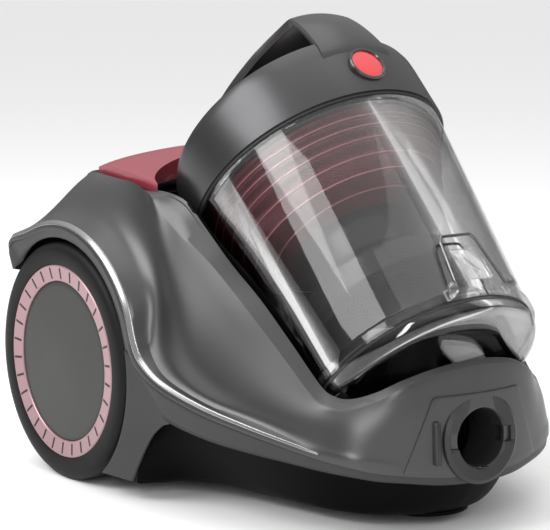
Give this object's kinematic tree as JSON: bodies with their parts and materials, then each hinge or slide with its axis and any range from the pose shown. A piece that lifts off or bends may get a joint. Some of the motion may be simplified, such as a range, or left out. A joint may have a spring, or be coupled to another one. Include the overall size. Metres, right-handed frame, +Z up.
{
  "type": "canister vacuum cleaner",
  "caption": "Bagless canister vacuum cleaner with a tilted clear dust bin, carry handle, large rear wheels, front caster, foot pedals and a hose socket in the nose.",
  "frame": {"origin": "on the floor under the centre of the cleaner's box", "axes": "+Z up, -Y forward towards the hose nose, +X to the right seen along +Y, along the rear axle"},
  "size_m": [0.31, 0.3992, 0.3508],
  "materials": {
    "shell_grey": "satin metallic grey paint on moulded plastic",
    "lid_grey": "satin metallic grey paint on moulded plastic",
    "tray_black": "black moulded plastic, fine grain",
    "cradle_black": "semi gloss black",
    "trim_dark": "dark grey satin plastic",
    "inner_black": "plain moulded black",
    "clear_bin": "clear polycarbonate",
    "smoky_clear": "smoked clear plastic",
    "cyclone_red": "translucent burgundy plastic",
    "pedal_red": "dusty red plastic",
    "badge_red": "red domed badge, plain",
    "accent_pink": "pale pink metallic",
    "hub_satin": "satin dark metallic",
    "tyre_grey": "soft rubber tread",
    "caster_rubber": "firm rubber",
    "seal_rubber": "soft seal",
    "chrome_wire": "bright wire",
    "steel": "bright steel",
    "bearing_steel": "ground steel",
    "motor_core": "laminated core with copper winding",
    "aluminium_fan": "pressed sheet",
    "carbon": "carbon",
    "foam": "open cell foam",
    "filter_paper": "pleated filter paper",
    "circuit_board": "green board"
  },
  "bodies": {
    "chassis": {"base_tray": "tray_black", "upper_shell": "shell_grey", "bin_cradle": "cradle_black", "hose_socket": "trim_dark", "duct_seal": "seal_rubber", "inlet_duct": "inner_black", "axle_left": "steel", "axle_right": "steel", "caster_cup": "inner_black", "motor_housing": "inner_black", "motor_housing_cap": "inner_black", "motor_mounts": "seal_rubber", "stator": "motor_core", "motor_frame": "steel", "motor_bearings": "bearing_steel", "fan_back_plate": "steel", "fan_cover": "steel", "carbon_brushes": "carbon", "reel_spindle": "steel", "reel_spring": "steel", "reel_bracket": "inner_black", "motor_filter_tray": "inner_black", "motor_filter_foam": "foam", "exhaust_filter": "filter_paper", "control_board": "circuit_board", "power_switch": "inner_black", "cord_gland": "trim_dark", "pedal_hinge_rod": "steel"},
    "motor_rotor": {"armature": "motor_core", "impeller": "aluminium_fan"},
    "cord_reel": {"cord_reel": "inner_black"},
    "exhaust_grille": {"exhaust_grille": "trim_dark"},
    "caster_fork": {"caster_fork": "trim_dark", "caster_pin": "steel"},
    "caster_wheel": {"caster_wheel": "caster_rubber"},
    "power_pedal": {"power_pedal": "pedal_red"},
    "rewind_pedal": {"rewind_pedal": "pedal_red"},
    "bin": {"bin_cup": "clear_bin", "flap_hinge_pin": "steel", "bin_lid": "lid_grey", "lid_badge": "badge_red", "lid_seal": "seal_rubber", "cyclone_top": "cyclone_red", "cyclone_cone": "smoky_clear", "vortex_finder": "inner_black", "filter_shroud": "trim_dark", "shroud_skirt": "trim_dark", "dust_plate": "smoky_clear"},
    "bin_flap": {"bottom_flap": "clear_bin", "flap_seal": "seal_rubber"},
    "bin_latch": {"bail_wire_loop": "chrome_wire", "latch_lever": "clear_bin"},
    "wheel_left": {"tyre_left": "tyre_grey", "wheel_rim_left": "inner_black", "accent_ring_left": "accent_pink", "hub_disc_left": "hub_satin"},
    "wheel_right": {"tyre_right": "tyre_grey", "wheel_rim_right": "inner_black", "accent_ring_right": "accent_pink", "hub_disc_right": "hub_satin"}
  },
  "joints": [
    {"name": "wheel_left_spin", "type": "hinge", "parent": "chassis", "child": "wheel_left", "pos_m": [-0.13, 0.1096, 0.09], "axis": [1, 0, 0], "continuous": true},
    {"name": "wheel_right_spin", "type": "hinge", "parent": "chassis", "child": "wheel_right", "pos_m": [0.13, 0.1096, 0.09], "axis": [1, 0, 0], "continuous": true},
    {"name": "caster_swivel", "type": "hinge", "parent": "chassis", "child": "caster_fork", "pos_m": [0, -0.133, 0.03], "axis": [0, 0, 1], "continuous": true},
    {"name": "caster_roll", "type": "hinge", "parent": "caster_fork", "child": "caster_wheel", "pos_m": [0, -0.123, 0.013], "axis": [1, 0, 0], "continuous": true},
    {"name": "bin_lift", "type": "slide", "parent": "chassis", "child": "bin", "axis": [0, 0, 1], "range_m": [0, 0.26]},
    {"name": "bin_flap_swing", "type": "hinge", "parent": "bin", "child": "bin_flap", "pos_m": [0, -0.07636, 0.04395], "axis": [1, 0, 0], "range_deg": [0, 65]},
    {"name": "bin_latch_swing", "type": "hinge", "parent": "bin", "child": "bin_latch", "pos_m": [0, -0.19409, 0.17371], "axis": [1, 0, 0], "range_deg": [0, 70]},
    {"name": "power_pedal_press", "type": "hinge", "parent": "chassis", "child": "power_pedal", "pos_m": [-0.05, 0.1516, 0.227], "axis": [1, 0, 0], "range_deg": [0, 2.5], "stiffness_Nm_per_rad": 1, "springref_deg": -5.73},
    {"name": "rewind_pedal_press", "type": "hinge", "parent": "chassis", "child": "rewind_pedal", "pos_m": [0.05, 0.1516, 0.227], "axis": [1, 0, 0], "range_deg": [0, 2.5], "stiffness_Nm_per_rad": 1, "springref_deg": -5.73},
    {"name": "motor_spin", "type": "hinge", "parent": "chassis", "child": "motor_rotor", "pos_m": [-0.04, 0.122, 0.104], "axis": [1, 0, 0], "continuous": true},
    {"name": "cord_reel_spin", "type": "hinge", "parent": "chassis", "child": "cord_reel", "pos_m": [0.066, 0.122, 0.096], "axis": [1, 0, 0], "continuous": true},
    {"name": "exhaust_grille_pull", "type": "slide", "parent": "chassis", "child": "exhaust_grille", "axis": [0, 1, 0], "range_m": [0, 0.04]}
  ],
  "couplings": [
    {"joint": "bin_flap_swing", "follows": "bin_lift", "rad_per_m": 4.2}
  ]
}
